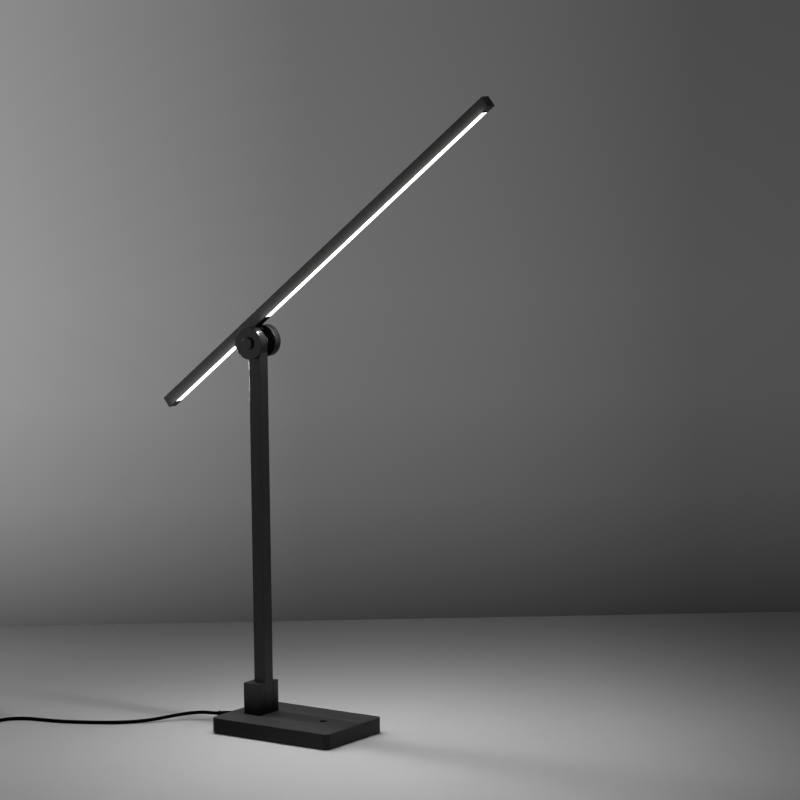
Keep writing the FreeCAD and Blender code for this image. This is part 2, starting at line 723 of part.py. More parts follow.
def cord_coil():
    path = coil_path()
    shape = tube(path, CORD_RADIUS)
    gap = least_gap(path, 2 * CORD_RADIUS)
    print("coil length", round(path.Length, 1), "least gap to itself", round(gap, 2))
    print("coil volume over section times length", shape.Volume / (math.pi * CORD_RADIUS ** 2 * path.Length))
    return shape


def cord_tie():
    """A flat strap around the coil's turns."""
    near = COIL_Y - COIL_INNER_RADIUS + CORD_RADIUS + TIE_SIDE_PLAY
    far = COIL_Y - coil_outer_radius - CORD_RADIUS - TIE_SIDE_PLAY
    low = coil_floor - CORD_RADIUS - TIE_PLAY
    high = coil_top + CORD_RADIUS + TIE_PLAY
    inside = block(span(COIL_X, TIE_WIDTH), (far, near), (low, high))
    inside = inside.makeFillet(TIE_EDGE_RADIUS - TIE_THICKNESS, straight_edges(inside, X_AXIS))
    outside = block(
        span(COIL_X, TIE_WIDTH),
        (far - TIE_THICKNESS, near + TIE_THICKNESS),
        (low - TIE_THICKNESS, high + TIE_THICKNESS),
    )
    outside = outside.makeFillet(TIE_EDGE_RADIUS, straight_edges(outside, X_AXIS))
    return outside.cut(inside)


def at_plug(shape):
    """Moves a shape from the plug's frame, where the cord arrives along +Y at the origin, to its place."""
    turn = FreeCAD.Rotation(Y_AXIS, coil_direction(COIL_TURNS))
    return shape.transformed(FreeCAD.Placement(coil_end(), turn).toMatrix(), True)


def plug_levels():
    low = FLOOR_GAP - coil_top
    return (low, low + PLUG_HEIGHT)


def plug_middle():
    low, high = plug_levels()
    return (low + high) / 2


def plug_boot():
    sleeve = Part.makeCone(BOOT_TIP_RADIUS, PLUG_BOOT_RADIUS, PLUG_BOOT_LENGTH, Vector(0, 0, 0), Y_AXIS)
    return at_plug(sleeve)


def plug_housing():
    ends = (PLUG_BOOT_LENGTH, PLUG_BOOT_LENGTH + PLUG_LENGTH)
    body = block(span(0, PLUG_WIDTH), ends, plug_levels())
    back = edges_in_plane(body, Vector(0, ends[0], 0), Y_AXIS)
    body = body.makeFillet(PLUG_EDGE_RADIUS, straight_edges(body, Y_AXIS) + back)
    low, high = plug_levels()
    room = block(
        span(0, PLUG_WIDTH - 2 * PLUG_WALL),
        (ends[0] + PLUG_WALL, ends[1]),
        (low + PLUG_WALL, high - PLUG_WALL),
    )
    room = room.makeFillet(PLUG_EDGE_RADIUS - PLUG_WALL, straight_edges(room, Y_AXIS))
    return at_plug(body.cut(room))


def plug_cover():
    start = PLUG_BOOT_LENGTH + PLUG_LENGTH
    lid = block(span(0, PLUG_WIDTH), (start, start + PLUG_COVER_THICKNESS), plug_levels())
    lid = lid.makeFillet(PLUG_EDGE_RADIUS, straight_edges(lid, Y_AXIS))
    face_start = start + PLUG_COVER_THICKNESS
    face = block(
        span(0, PLUG_FACE_WIDTH),
        (face_start, face_start + PLUG_FACE_DEPTH),
        span(plug_middle(), PLUG_FACE_HEIGHT),
    )
    face = face.makeFillet(PLUG_FACE_HEIGHT / 3, straight_edges(face, Y_AXIS))
    return at_plug(lid.fuse(face).removeSplitter())


def plug_pins():
    start = PLUG_BOOT_LENGTH + PLUG_LENGTH + PLUG_COVER_THICKNESS + PLUG_FACE_DEPTH
    pins = []
    for side in (-1, 1):
        foot = Vector(side * PIN_SPACING / 2, start, plug_middle())
        pin = rod(foot, Y_AXIS, PIN_RADIUS, PIN_LENGTH)
        tip = edges_in_plane(pin, Vector(0, start + PIN_LENGTH, 0), Y_AXIS)
        pins.append(at_plug(pin.makeFillet(PIN_RADIUS / 2, tip)))
    return Part.makeCompound(pins)


def converter_board():
    """The power supply's board with its parts, on the housing's floor."""
    low = plug_levels()[0] + PLUG_WALL
    width = PLUG_WIDTH - 2 * PLUG_WALL - 2 * CONVERTER_MARGIN
    start = PLUG_BOOT_LENGTH + PLUG_WALL + CONVERTER_MARGIN
    end = PLUG_BOOT_LENGTH + PLUG_LENGTH - CONVERTER_MARGIN
    board = block(span(0, width), (start, end), (low, low + CONVERTER_BOARD_THICKNESS))
    parts_low = low + CONVERTER_BOARD_THICKNESS
    parts = block(
        span(0, width - 2 * CONVERTER_MARGIN),
        (start + CONVERTER_MARGIN, end - CONVERTER_MARGIN),
        (parts_low, parts_low + CONVERTER_PARTS_HEIGHT),
    )
    return at_plug(board.fuse(parts).removeSplitter())


def on_bar(shape):
    """Moves a shape from the bar's own frame, with the pivot at the origin and the bar level along +X, to the
    tilted bar."""
    turn = FreeCAD.Rotation(Y_AXIS, -BAR_ANGLE)
    place = FreeCAD.Placement(Vector(post_x, 0, pivot_height), turn)
    return shape.transformed(place.toMatrix(), True)


def dowel_places():
    return [Vector(x, 0, dowel_level) for x in span(0, DOWEL_SPACING)]


def disc(side):
    """One cheek of the hinge: -1 is the front one, 1 the rear one."""
    axis = Y_AXIS * side
    body = rod(axis * disc_inner, axis, DISC_RADIUS, DISC_THICKNESS)
    rims = edges_in_plane(body, axis * disc_inner, Y_AXIS) + edges_in_plane(body, axis * disc_outer, Y_AXIS)
    body = body.makeFillet(DISC_EDGE_RADIUS, rims)
    cuts = [
        rod(axis * disc_inner, axis, bolt_hole_radius, DISC_THICKNESS),
        rod(axis * bolt_seat, axis, DISC_RECESS_RADIUS, DISC_RECESS_DEPTH),
    ]
    for place in dowel_places():
        cuts.append(rod(place + axis * disc_inner, axis, DOWEL_RADIUS + RUNNING_GAP, DOWEL_IN_DISC))
    return on_bar(body.cut(cuts))


def hinge_cap(side):
    """The raised cap over the bolt's end in a disc."""
    axis = Y_AXIS * side
    cap = rod(axis * disc_outer, axis, CAP_RADIUS, CAP_HEIGHT)
    face = axis * (disc_outer + CAP_HEIGHT)
    cap = cap.makeFillet(CAP_EDGE_RADIUS, edges_in_plane(cap, face, Y_AXIS))
    spigot_start = axis * (disc_outer - CAP_SPIGOT_LENGTH)
    spigot = rod(spigot_start, axis, DISC_RECESS_RADIUS - FIT_GAP, CAP_SPIGOT_LENGTH)
    return on_bar(cap.fuse(spigot).removeSplitter())


def pivot_bolt():
    seat = Y_AXIS * -bolt_seat
    length = 2 * bolt_seat + NUT_HEIGHT + BOLT_END_PROUD
    shank = rod(seat, Y_AXIS, BOLT_RADIUS, length)
    head = rod(seat, Y_AXIS * -1, BOLT_HEAD_RADIUS, BOLT_HEAD_HEIGHT)
    drive = hexagon(seat - Y_AXIS * BOLT_HEAD_HEIGHT, Y_AXIS, BOLT_HEAD_RADIUS, BOLT_HEAD_HEIGHT / 2)
    return on_bar(shank.fuse(head).removeSplitter().cut(drive))


def pivot_nut():
    seat = Y_AXIS * bolt_seat
    nut = hexagon(seat, Y_AXIS, NUT_ACROSS_CORNERS, NUT_HEIGHT)
    return on_bar(nut.cut(rod(seat, Y_AXIS, bolt_hole_radius, NUT_HEIGHT)))


def friction_washers():
    washers = []
    for side in (-1, 1):
        axis = Y_AXIS * side
        start = axis * (disc_inner - WASHER_THICKNESS)
        ring = rod(start, axis, WASHER_RADIUS, WASHER_THICKNESS)
        washers.append(on_bar(ring.cut(rod(start, axis, bolt_hole_radius, WASHER_THICKNESS))))
    return Part.makeCompound(washers)


def neck_screw_places():
    return [Vector(x, 0, neck_bottom + NECK_SCREW_RECESS) for x in span(0, NECK_SCREW_SPACING)]


def neck():
    """The saddle between the discs that carries the bar."""
    body = block(span(0, NECK_LENGTH), span(0, 2 * disc_inner), (neck_bottom, BAR_ABOVE_PIVOT))
    cuts = [rod(Vector(0, 0, neck_bottom), Z_AXIS, lead_hole_radius, NECK_HEIGHT)]
    recess = SMALL_SCREW_RADIUS * SCREW_HEAD_RATIO + FIT_GAP
    for seat in neck_screw_places():
        cuts.append(rod(seat, Z_AXIS, SMALL_SCREW_RADIUS + FIT_GAP, NECK_HEIGHT))
        cuts.append(rod(seat, Z_AXIS * -1, recess, NECK_SCREW_RECESS))
    for place in dowel_places():
        for side in (-1, 1):
            start = place + Y_AXIS * (side * disc_inner)
            cuts.append(rod(start, Y_AXIS * -side, DOWEL_RADIUS + RUNNING_GAP, DOWEL_IN_NECK))
    return on_bar(body.cut(cuts))


def dowel_pins():
    pins = []
    for place in dowel_places():
        for side in (-1, 1):
            start = place + Y_AXIS * (side * (disc_inner - DOWEL_IN_NECK))
            pins.append(on_bar(rod(start, Y_AXIS * side, DOWEL_RADIUS, DOWEL_IN_NECK + DOWEL_IN_DISC)))
    return Part.makeCompound(pins)


def neck_screws():
    return Part.makeCompound(
        [on_bar(screw(seat, Z_AXIS, SMALL_SCREW_RADIUS, NECK_SCREW_GRIP, SCREW_HEAD_HEIGHT))
         for seat in neck_screw_places()]
    )


def extrusion(outline, start, end):
    """A length of bar profile. The outline gives places across the bar and above its underside."""
    points = [Vector(start, across, BAR_ABOVE_PIVOT + above) for across, above in outline]
    return Part.Face(Part.makePolygon(points + points[:1])).extrude(X_AXIS * (end - start))


def mirrored(half_outline):
    """A closed outline from its right half, listed from the bottom up."""
    return half_outline + [(-across, above) for across, above in reversed(half_outline)]


def grooved_half(width, groove_reach, groove_low, groove_high, height):
    return [
        (width, 0),
        (width, groove_low),
        (groove_reach, groove_low),
        (groove_reach, groove_high),
        (width, groove_high),
        (width, height),
    ]


def seated_half(height):
    """Half the outline of what clips into the channel, clear of its walls and grooves by the fit gap."""
    return grooved_half(
        bar_inside - FIT_GAP,
        bar_inside + BAR_GROOVE_DEPTH - FIT_GAP,
        BAR_GROOVE_ABOVE + FIT_GAP,
        BAR_GROOVE_ABOVE + BAR_GROOVE_HEIGHT - FIT_GAP,
        height,
    )


def bar_channel():
    z_span = (BAR_ABOVE_PIVOT, bar_top)
    outside = block((-channel_short, channel_long), span(0, BAR_SIZE), z_span)
    outside = outside.makeFillet(BAR_EDGE_RADIUS, straight_edges(outside, X_AXIS))
    inside = grooved_half(
        bar_inside,
        bar_inside + BAR_GROOVE_DEPTH,
        BAR_GROOVE_ABOVE,
        BAR_GROOVE_ABOVE + BAR_GROOVE_HEIGHT,
        BAR_SIZE - BAR_WALL,
    )
    return on_bar(outside.cut(extrusion(mirrored(inside), -channel_short, channel_long)))


def bar_bridge():
    """The block that fills the channel between the two strips and takes the neck's screws."""
    ends = (-BRIDGE_SHORT_REACH, BRIDGE_LONG_REACH)
    body = extrusion(mirrored(seated_half(BAR_SIZE - BAR_WALL)), *ends)
    groove = block(ends, span(0, BRIDGE_GROOVE_WIDTH), (web_level - BRIDGE_GROOVE_DEPTH, web_level))
    cuts = [groove, rod(Vector(0, 0, BAR_ABOVE_PIVOT), Z_AXIS, lead_hole_radius, BAR_SIZE - BAR_WALL)]
    for seat in neck_screw_places():
        cuts.append(rod(seat, Z_AXIS, SMALL_SCREW_RADIUS + FIT_GAP, NECK_SCREW_GRIP + FIT_GAP))
    return on_bar(body.cut(cuts))


def bar_lead():
    """The lead from the neck up into the bar and out to both boards."""
    riser = rod(Vector(0, 0, neck_bottom), Z_AXIS, LEAD_RADIUS, bar_lead_level - neck_bottom)
    start = Vector(-BRIDGE_SHORT_REACH - LEAD_UNDER_BOARD, 0, bar_lead_level)
    length = BRIDGE_SHORT_REACH + BRIDGE_LONG_REACH + 2 * LEAD_UNDER_BOARD
    branch = rod(start, X_AXIS, LEAD_RADIUS, length)
    return on_bar(riser.fuse(branch).removeSplitter())


def led_board(start, end):
    """A board with its row of LEDs, from the bridge's end to the end cap."""
    side = 1 if end > start else -1
    ends = sorted((start + side * LED_BOARD_END_GAP, end - side * LED_BOARD_END_GAP))
    board = block(ends, span(0, LED_BOARD_WIDTH), (led_board_level, web_level))
    count = int((abs(end - start) - LED_FIRST) / LED_PITCH)
    leds = []
    for number in range(count):
        place = start + side * (LED_FIRST + number * LED_PITCH)
        z_span = (led_board_level - LED_HEIGHT, led_board_level)
        leds.append(block(span(place, LED_SIZE), span(0, LED_SIZE), z_span))
    return on_bar(board.fuse(leds).removeSplitter())


def diffuser(start, end):
    """A clipped-in light cover: a flat face with two legs."""
    inner = bar_inside - FIT_GAP - DIFFUSER_LEG
    half = seated_half(DIFFUSER_LEG_RISE) + [(inner, DIFFUSER_LEG_RISE), (inner, DIFFUSER_THICKNESS)]
    return on_bar(extrusion(mirrored(half), start, end))


def end_cap(side, reach, channel_end):
    """The cap on one end of the bar: a plate and a plug that closes the channel behind it. side is 1 at the
    long end and -1 at the short one."""
    z_span = (BAR_ABOVE_PIVOT, bar_top)
    plate = block(sorted((side * channel_end, side * reach)), span(0, BAR_SIZE), z_span)
    plate = plate.makeFillet(BAR_EDGE_RADIUS, straight_edges(plate, X_AXIS))
    width = 2 * (bar_inside - FIT_GAP)
    plug_ends = sorted((side * (channel_end - END_CAP_PLUG_LENGTH), side * channel_end))
    plug = block(plug_ends, span(0, width), (BAR_ABOVE_PIVOT, web_level - FIT_GAP))
    return on_bar(plate.fuse(plug).removeSplitter())


NODES = {
    "base_shell": base_shell(),
    "bottom_cover": bottom_cover(),
    "cover_screws": cover_screws(),
    "base_pad": base_pad(),
    "ballast_plate": ballast_plate(),
    "driver_board": driver_board(),
    "board_screws": board_screws(),
    "terminal_block": terminal_block(),
    "switch_body": switch_body(),
    "switch_plunger": switch_plunger(),
    "button": button(),
    "socket_block": socket_block(),
    "socket_screws": socket_screws(),
    "set_screws": set_screws(),
    "post_tube": post_tube(),
    "post_head": post_head(),
    "head_screw": head_screw(),
    "post_lead": post_lead(),
    "cord_tail": cord_tail(),
    "strain_relief": strain_relief(),
    "cord": cord(),
    "cord_coil": cord_coil(),
    "cord_tie": cord_tie(),
    "plug_boot": plug_boot(),
    "plug_housing": plug_housing(),
    "plug_cover": plug_cover(),
    "plug_pins": plug_pins(),
    "converter_board": converter_board(),
    "front_disc": disc(-1),
    "rear_disc": disc(1),
    "front_cap": hinge_cap(-1),
    "rear_cap": hinge_cap(1),
    "pivot_bolt": pivot_bolt(),
    "pivot_nut": pivot_nut(),
    "friction_washers": friction_washers(),
    "neck": neck(),
    "dowel_pins": dowel_pins(),
    "neck_screws": neck_screws(),
    "bar_channel": bar_channel(),
    "bar_bridge": bar_bridge(),
    "bar_lead": bar_lead(),
    "long_led_board": led_board(BRIDGE_LONG_REACH, strip_long_end),
    "short_led_board": led_board(-BRIDGE_SHORT_REACH, -strip_short_end),
    "long_diffuser": diffuser(BRIDGE_LONG_REACH, strip_long_end),
    "short_diffuser": diffuser(-strip_short_end, -BRIDGE_SHORT_REACH),
    "upper_end_cap": end_cap(1, BAR_LONG_REACH, channel_long),
    "lower_end_cap": end_cap(-1, BAR_SHORT_REACH, channel_short),
}

for name, shape in NODES.items():
    print(name, len(shape.Solids), "solids, valid", shape.isValid(), "volume", round(shape.Volume, 1))
    shape.exportStep(f"parts/{name}.step")
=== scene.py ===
import json
import math

import bpy
from mathutils import Matrix, Vector


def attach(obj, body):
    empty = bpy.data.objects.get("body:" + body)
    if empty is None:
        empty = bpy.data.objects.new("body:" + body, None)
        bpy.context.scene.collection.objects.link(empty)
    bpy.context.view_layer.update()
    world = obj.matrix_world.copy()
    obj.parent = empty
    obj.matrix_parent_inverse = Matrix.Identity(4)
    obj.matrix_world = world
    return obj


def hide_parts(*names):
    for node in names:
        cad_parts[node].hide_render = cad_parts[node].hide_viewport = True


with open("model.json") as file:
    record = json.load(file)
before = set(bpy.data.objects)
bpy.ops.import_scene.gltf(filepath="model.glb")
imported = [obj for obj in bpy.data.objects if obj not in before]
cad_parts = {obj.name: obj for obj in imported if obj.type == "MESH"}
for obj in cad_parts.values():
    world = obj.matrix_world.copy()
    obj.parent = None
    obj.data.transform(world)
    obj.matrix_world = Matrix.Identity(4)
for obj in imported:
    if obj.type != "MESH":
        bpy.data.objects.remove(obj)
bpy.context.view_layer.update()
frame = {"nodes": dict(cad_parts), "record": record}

# LED table lamp: a tilting light bar on a square post, black, with its light on. All lengths are in
# metres, in the frame of the CAD model: the origin is under the middle of the base, +X runs along the
# base and +Z is up.

# Camera
CAMERA_PLACE = Vector((2.41175, -3.23689, 0.94334))
CAMERA_AZIMUTH = math.radians(34.994)
CAMERA_PITCH = math.radians(8.042)
CAMERA_ROLL = math.radians(0.655)
CAMERA_LENS = 166.68
CAMERA_SENSOR = 36.0
CAMERA_REACH = 50.0

# Cord: the route's points repeat those of the CAD model
CORD_DIAMETER = 0.004
CORD_EXIT = (-0.0815, 0.0, 0.0117)
BOOT_END = (-0.11039, 0.0, 0.00917)
CORD_ROUTE = [
    (-0.11736, 0.0, 0.00856),
    (-0.1335, -0.0035, 0.0085),
    (-0.1525, -0.0185, 0.0060),
    (-0.1695, -0.0440, 0.0027),
    (-0.1905, -0.0690, 0.00205),
    (-0.2220, -0.0885, 0.00205),
    (-0.2545, -0.1030, 0.00205),
    (-0.2790, -0.1080, 0.00205),
    (-0.2995, -0.1125, 0.00205),
    (-0.3110, -0.1210, 0.00205),
    (-0.3180, -0.1325, 0.00205),
    (-0.3192, -0.1470, 0.00205),
    (-0.3211, -0.1680, 0.00295),
]

# Coil of the put-away cord: it climbs to the next layer from COIL_CLIMB turns before its spiral reverses
# to as many after
COIL_CENTRE = (-0.350, -0.196)
COIL_INNER_RADIUS = 0.0160
COIL_TURNS = 10.5
COIL_LAYERS = 4
COIL_PITCH = 0.00465
COIL_LAYER_HEIGHT = 0.0046
COIL_CLIMB = 0.25
COIL_FLOOR = 0.00295
COIL_LEAD_IN = 0.004
COIL_TAIL = 0.014
COIL_POINTS_PER_TURN = 20

# Boots on the cord: the collar lists distances along its axis and radii, and the shape of one rib lists
# shares of its length and of the groove's depth
BOOT_LENGTH = 0.029
BOOT_RADII = (0.0034, 0.0027)
BOOT_RIBS = 7
BOOT_GROOVE = 0.0005
BOOT_DROOP = math.radians(5.0)
BOOT_COLLAR = [
    (-0.0065, 0.0030),
    (-0.0062, 0.0036),
    (-0.0042, 0.0036),
    (-0.0040, 0.0033),
    (-0.0016, 0.0033),
    (-0.0015, 0.0038),
    (-0.0003, 0.0039),
    (0.0, 0.0036),
]
PLUG_BOOT_LENGTH = 0.0198
PLUG_BOOT_RADII = (0.0027, 0.0038)
PLUG_BOOT_RIBS = 6
PLUG_BOOT_GROOVE = 0.0006
RIB_SHAPE = (
    (0.0, 1.0),
    (0.10, 1.0),
    (0.18, 0.35),
    (0.30, 0.0),
    (0.70, 0.0),
    (0.82, 0.35),
    (0.90, 1.0),
)
SHARP_EDGE = math.radians(40)

# Light bar and hinge, as in the CAD model: the LEDs' faces are heights above the pivot, and the band where
# the discs' painted inner shade gives way is given as distances from the middle
PIVOT = Vector((-0.04475, 0.0, 0.4365))
BAR_ANGLE = math.radians(38.83)
BAR_ABOVE_PIVOT = 0.0133
BAR_SIZE = 0.013
STRIP_WIDTH = 0.0098
STRIP_RUNS = {"long_strip": (0.0296, 0.3993), "short_strip": (-0.1343, -0.0270)}
LED_PITCH = 0.0125
LED_FACE = (0.0230, 0.0233)
DISC_INNER_EDGE = (0.00835, 0.00865)

# Base, as in the CAD model
BASE_TOP = 0.018
BASE_EDGE_RADIUS = 0.0005

# Painted shade on base and socket: where along the base and up the socket their gloss is taken away to
# darken them, how far it goes, and how much less rough the base's sides are than its top
BASE_SHADE = (-0.085, 0.07)
BASE_SHADE_DEPTH = 0.55
SIDE_SMOOTHER = 0.14
SOCKET_SHADE = (0.021, 0.046)
SOCKET_SHADE_DEPTH = 0.85

# Painted glow on the bar's flanks next to the strips, standing in for their light: shares of the bar's
# height, each with a level
PAINTED_GLOW_STRENGTH = 0.1
PAINTED_GLOW_UPWARD = (
    (0.0, 0.0),
    (0.04, 1.0),
    (0.14, 0.68),
    (0.28, 0.34),
    (0.5, 0.12),
    (0.75, 0.03),
    (0.95, 0.0),
)
PAINTED_GLOW_TINT = (1.0, 0.95, 0.9)
PAINTED_GLOW_FADE = 0.009

# Values between which a noise mostly lies
NOISE_SPAN = (0.3, 0.7)

# Axes, as numbers
AXIS_X = 0
AXIS_Y = 1
AXIS_Z = 2

# Stage: the floor's and backdrop's gradients are painted light and shade; a gradient lists shares of its
# span, each with a tone or a level
STAGE_SIZE = 9.0
FLOOR_TONE = 0.588
FLOOR_DEPTH = (-0.35, 0.65)
FLOOR_BACKWARD = ((0.0, 1.0), (0.35, 0.9), (1.0, 0.78))
FLOOR_WIDTH = (-0.4, 0.8)
FLOOR_ACROSS = (
    (0.0, 0.95),
    (0.22, 0.95),
    (0.44, 1.0),
    (0.63, 0.91),
    (0.72, 0.78),
    (0.81, 0.66),
    (1.0, 0.62),
)
WALL_FOOT = Vector((-0.2672, 0.5855, 0.0))
WALL_ANGLE = math.radians(37.1)
WALL_HEIGHT = 4.0
WALL_TONE = 0.2
WALL_SPAN = (-0.6, 0.6)
WALL_ACROSS = (
    (0.0, 0.32),
    (0.10, 0.283),
    (0.21, 0.231),
    (0.40, 0.150),
    (0.61, 0.119),
    (0.82, 0.079),
    (1.0, 0.074),
)
WALL_FADE = 0.8
WALL_UPWARD = (
    (0.0, 0.30),
    (0.035, 0.40),
    (0.10, 0.57),
    (0.20, 0.80),
    (0.36, 1.0),
    (0.52, 1.04),
    (0.96, 0.90),
)

# Lights: a strip's power is for each metre of it, and a spread is in degrees
STRIP_POWER = 5.9
STRIP_LIGHT_GAP = 0.0003
SOFT_LIGHTS = {
    "left_light": {
        "place": (-0.82, -0.30, 0.55),
        "target": (-0.25, -0.08, 0.0),
        "size": 0.3,
        "power": 2.3,
    },
    "front_light": {
        "place": (-1.35, -1.9, 0.35),
        "target": (-0.05, 0.0, 0.45),
        "size": 0.9,
        "power": 1.1,
    },
    "right_light": {
        "place": (2.0, -1.2, 1.2),
        "target": (0.0, 0.0, 0.3),
        "size": 1.0,
        "power": 0.8,
    },
    "side_light": {
        "place": (0.95, 0.7, 0.2),
        "target": (0.0, 0.0, 0.2),
        "size": 0.3,
        "power": 0.03,
        "spread": 45,
    },
    "floor_light": {
        "place": (0.4, -2.6, 1.8),
        "target": (0.4, -2.6, 0.0),
        "size": 1.6,
        "power": 12.0,
        "spread": 110,
    },
    "far_light": {
        "place": (2.5, 0.6, 1.8),
        "target": (2.5, 0.6, 0.0),
        "size": 0.8,
        "power": 9.0,
        "spread": 80,
    },
}
WORLD_TONE = 0.5
WORLD_STRENGTH = 0.04
WORLD_SEEN = 0.09


def placed_axes(place, x_axis, y_axis, z_axis):
    """The matrix that puts an object at a place, along three axes."""
    return Matrix.Translation(place) @ Matrix((x_axis, y_axis, z_axis)).transposed().to_4x4()


def make_camera():
    back = Vector((
        math.sin(CAMERA_AZIMUTH) * math.cos(CAMERA_PITCH),
        -math.cos(CAMERA_AZIMUTH) * math.cos(CAMERA_PITCH),
        math.sin(CAMERA_PITCH),
    ))
    level_right = Vector((math.cos(CAMERA_AZIMUTH), math.sin(CAMERA_AZIMUTH), 0.0))
    level_up = back.cross(level_right)
    right = level_right * math.cos(CAMERA_ROLL) - level_up * math.sin(CAMERA_ROLL)
    up = level_right * math.sin(CAMERA_ROLL) + level_up * math.cos(CAMERA_ROLL)
    data = bpy.data.cameras.new("camera")
    data.sensor_width = CAMERA_SENSOR
    data.lens = CAMERA_LENS
    data.clip_end = CAMERA_REACH
    camera = bpy.data.objects.new("camera", data)
    camera.matrix_world = placed_axes(CAMERA_PLACE, right, up, back)
    bpy.context.scene.collection.objects.link(camera)
    bpy.context.scene.camera = camera


def coil_place(turns):
    """The coil's centreline: it spirals in and out at a steady rate and climbs where it turns back."""
    layer_turns = COIL_TURNS / COIL_LAYERS
    outer_radius = COIL_INNER_RADIUS + COIL_PITCH * layer_turns
    nearest = min(max(round(turns / layer_turns), 1), COIL_LAYERS - 1)
    past = turns - nearest * layer_turns
    if abs(past) < COIL_CLIMB:
        from_end = COIL_PITCH * (past * past / (2 * COIL_CLIMB) + COIL_CLIMB / 2)
        climb = (past + COIL_CLIMB) / (2 * COIL_CLIMB)
        layer = nearest - 1 + climb * climb * (3 - 2 * climb)
    else:
        from_end = COIL_PITCH * abs(past)
        layer = nearest if past > 0 else nearest - 1
    radius = COIL_INNER_RADIUS + from_end if nearest % 2 == 1 else outer_radius - from_end
    angle = -2 * math.pi * turns
    return Vector((
        COIL_CENTRE[0] + radius * math.cos(angle),
        COIL_CENTRE[1] + radius * math.sin(angle),
        COIL_FLOOR + layer * COIL_LAYER_HEIGHT,
    ))


def coil_direction(turns):
    step = 1e-4
    return (coil_place(turns + step) - coil_place(turns - step)).normalized()


def coil_points():
    count = round(COIL_TURNS * COIL_POINTS_PER_TURN)
    points = [coil_place(0) - coil_direction(0) * COIL_LEAD_IN]
    points += [coil_place(COIL_TURNS * step / count) for step in range(count + 1)]
    return points


def plug_end():
    """Where the cord enters the plug's boot, and its direction there."""
    direction = coil_direction(COIL_TURNS)
    return coil_place(COIL_TURNS) + direction * COIL_TAIL, direction


def make_cord():
    """The whole cord, from boot to boot. Its bevel of one metre is scaled by each point's radius."""
    points = [Vector(place) for place in (BOOT_END, *CORD_ROUTE)] + coil_points() + [plug_end()[0]]
    data = bpy.data.curves.new("supply_cord", "CURVE")
    data.dimensions = "3D"
    data.bevel_depth = 1.0
    data.bevel_resolution = 6
    data.resolution_u = 5
    data.use_fill_caps = True
    spline = data.splines.new("NURBS")
    spline.points.add(len(points) - 1)
    for point, place in zip(spline.points, points):
        point.co = (*place, 1.0)
        point.radius = CORD_DIAMETER / 2
    spline.order_u = 3
    spline.use_endpoint_u = True
    cord = bpy.data.objects.new("supply_cord", data)
    bpy.context.scene.collection.objects.link(cord)
    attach(cord, "base")
    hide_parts("cord", "cord_coil")
    return cord


def add_mesh(name, vertices, faces, smooth=True):
    mesh = bpy.data.meshes.new(name)
    mesh.from_pydata(vertices, [], faces)
    mesh.validate()
    mesh.update()
    for polygon in mesh.polygons:
        polygon.use_smooth = smooth
    piece = bpy.data.objects.new(name, mesh)
    bpy.context.scene.collection.objects.link(piece)
    return piece


def turned(name, profile, start, axis, segments=48):
    """A closed turned piece. The profile lists distances along the axis and radii."""
    side = axis.orthogonal().normalized()
    other = axis.cross(side)
    vertices = []
    faces = []
    for along, radius in profile:
        for step in range(segments):
            angle = 2 * math.pi * step / segments
            out = side * math.cos(angle) + other * math.sin(angle)
            vertices.append(start + axis * along + out * radius)
    for ring in range(len(profile) - 1):
        for step in range(segments):
            here = ring * segments + step
            there = ring * segments + (step + 1) % segments
            faces.append((here, there, there + segments, here + segments))
    faces.append(tuple(reversed(range(segments))))
    last = (len(profile) - 1) * segments
    faces.append(tuple(range(last, last + segments)))
    piece = add_mesh(name, vertices, faces)
    piece.data.set_sharp_from_angle(angle=SHARP_EDGE)
    return piece


def ribbed_profile(length, start_radius, end_radius, ribs, groove_depth):
    """A tapered sleeve with rounded ribs."""
    profile = []
    rib = length / ribs
    for number in range(ribs):
        for share, depth in RIB_SHAPE:
            along = (number + share) * rib
            radius = start_radius + (end_radius - start_radius) * along / length
            profile.append((along, radius - groove_depth * depth))
    profile.append((length, end_radius - groove_depth))
    return profile


def make_boot():
    """The ribbed boot where the cord leaves the base, with its collar and the shank in the wall."""
    axis = Vector((-math.cos(BOOT_DROOP), 0.0, -math.sin(BOOT_DROOP)))
    sleeve = ribbed_profile(BOOT_LENGTH, *BOOT_RADII, BOOT_RIBS, BOOT_GROOVE)
    boot = turned("cord_boot", BOOT_COLLAR + sleeve, Vector(CORD_EXIT), axis)
    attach(boot, "base")
    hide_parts("strain_relief")
    return boot


def make_plug_boot():
    """The ribbed boot where the cord enters the plug."""
    end, direction = plug_end()
    profile = ribbed_profile(PLUG_BOOT_LENGTH, *PLUG_BOOT_RADII, PLUG_BOOT_RIBS, PLUG_BOOT_GROOVE)
    plug_boot = turned("plug_boot_ribbed", profile, end, direction)
    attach(plug_boot, "base")
    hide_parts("plug_boot")
    return plug_boot


def shaded(colour, level):
    """A grey or a colour at a share of its strength, as a colour."""
    parts = colour if hasattr(colour, "__len__") else (colour, colour, colour)
    return tuple(part * level for part in parts)


